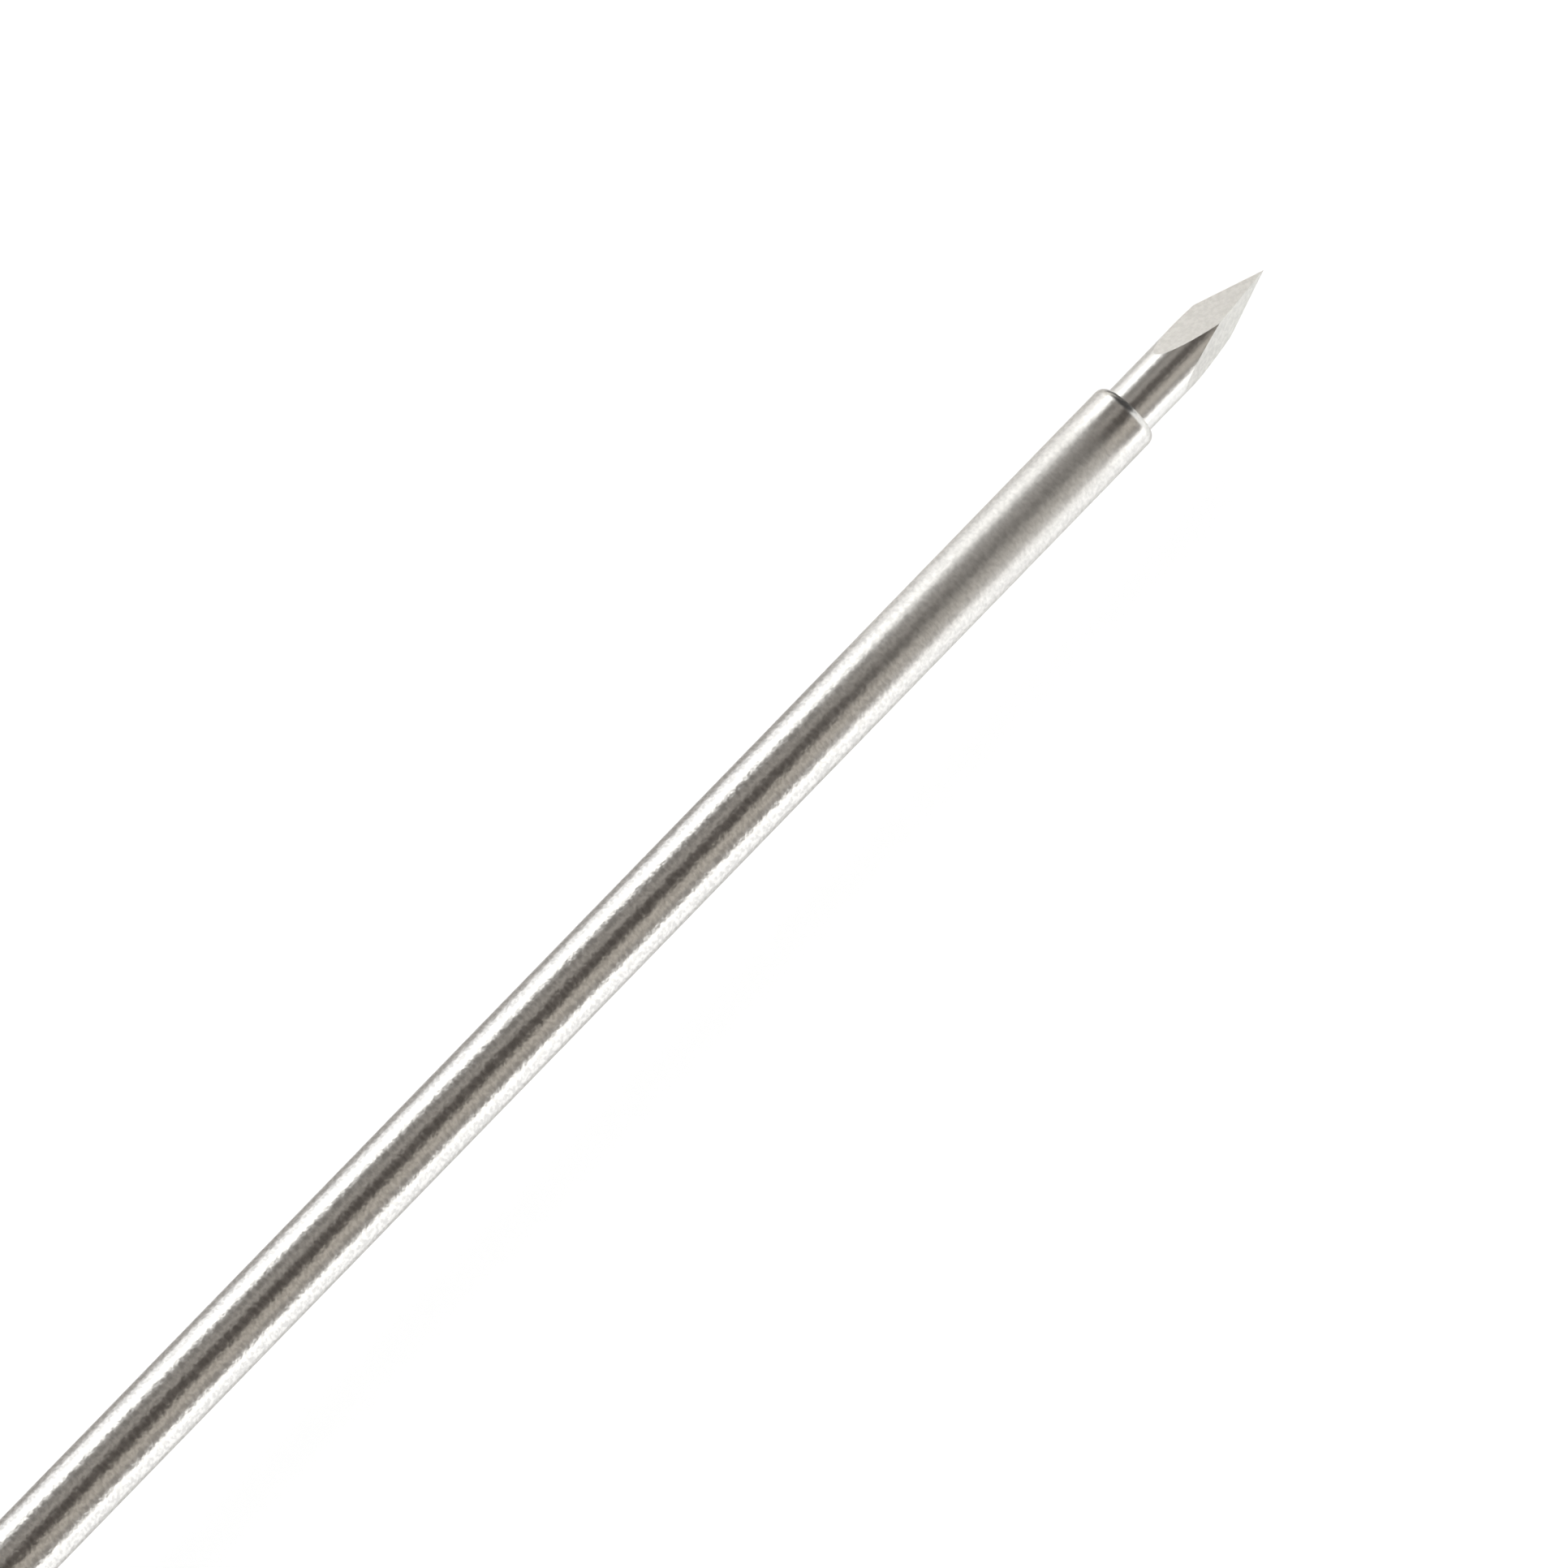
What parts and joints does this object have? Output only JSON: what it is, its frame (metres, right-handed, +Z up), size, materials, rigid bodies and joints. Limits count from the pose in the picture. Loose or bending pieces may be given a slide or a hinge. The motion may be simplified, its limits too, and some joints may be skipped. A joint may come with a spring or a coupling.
{
  "type": "trocar needle",
  "caption": "Steel cannula in a T-handle with a locking trocar-point stylet, a quarter-turn ring and a sliding depth stop.",
  "frame": {"origin": "centre of the cannula's distal rim, on the needle's axis", "axes": "+X along the needle towards its point, +Y towards the left wing, +Z up from the surface that the handle lies on"},
  "size_m": [0.1762, 0.076, 0.018],
  "materials": {
    "cannula_steel": "fine ground round the tube, softly bright",
    "stylet_steel": "drawn and polished bright",
    "collar_steel": "turned",
    "ring_aluminium": "satin anodised",
    "handle_plastic": "fine spark-eroded grain",
    "port_plastic": "smooth moulded",
    "cap_plastic": "fine spark-eroded grain",
    "soft_grip": "matt moulded"
  },
  "bodies": {
    "cannula_unit": {"cannula": "cannula_steel", "cannula_collar": "collar_steel", "luer_port": "port_plastic", "port_gasket": "soft_grip", "handle_lower_shell": "handle_plastic", "handle_upper_shell": "handle_plastic", "nose_ring": "ring_aluminium", "left_finger_pad": "soft_grip", "right_finger_pad": "soft_grip"},
    "stylet_unit": {"stylet": "stylet_steel", "stylet_core": "port_plastic", "stylet_anvil": "collar_steel", "stylet_cap": "cap_plastic", "cap_front_plate": "cap_plastic", "cap_grip_band": "soft_grip", "strike_plate": "stylet_steel"},
    "lock_ring": {"lock_ring": "handle_plastic", "lock_ring_grip": "soft_grip"},
    "depth_stop": {"depth_stop_body": "port_plastic", "depth_stop_grommet": "soft_grip"}
  },
  "joints": [
    {"name": "stylet_slide", "type": "slide", "parent": "cannula_unit", "child": "stylet_unit", "axis": [-1, 0, 0], "range_m": [0, 0.154]},
    {"name": "lock_ring_turn", "type": "hinge", "parent": "stylet_unit", "child": "lock_ring", "pos_m": [-0.149, 0, 0], "axis": [1, 0, 0], "range_deg": [0, 90]},
    {"name": "depth_stop_slide", "type": "slide", "parent": "cannula_unit", "child": "depth_stop", "axis": [1, 0, 0], "range_m": [0, 0.08]}
  ]
}
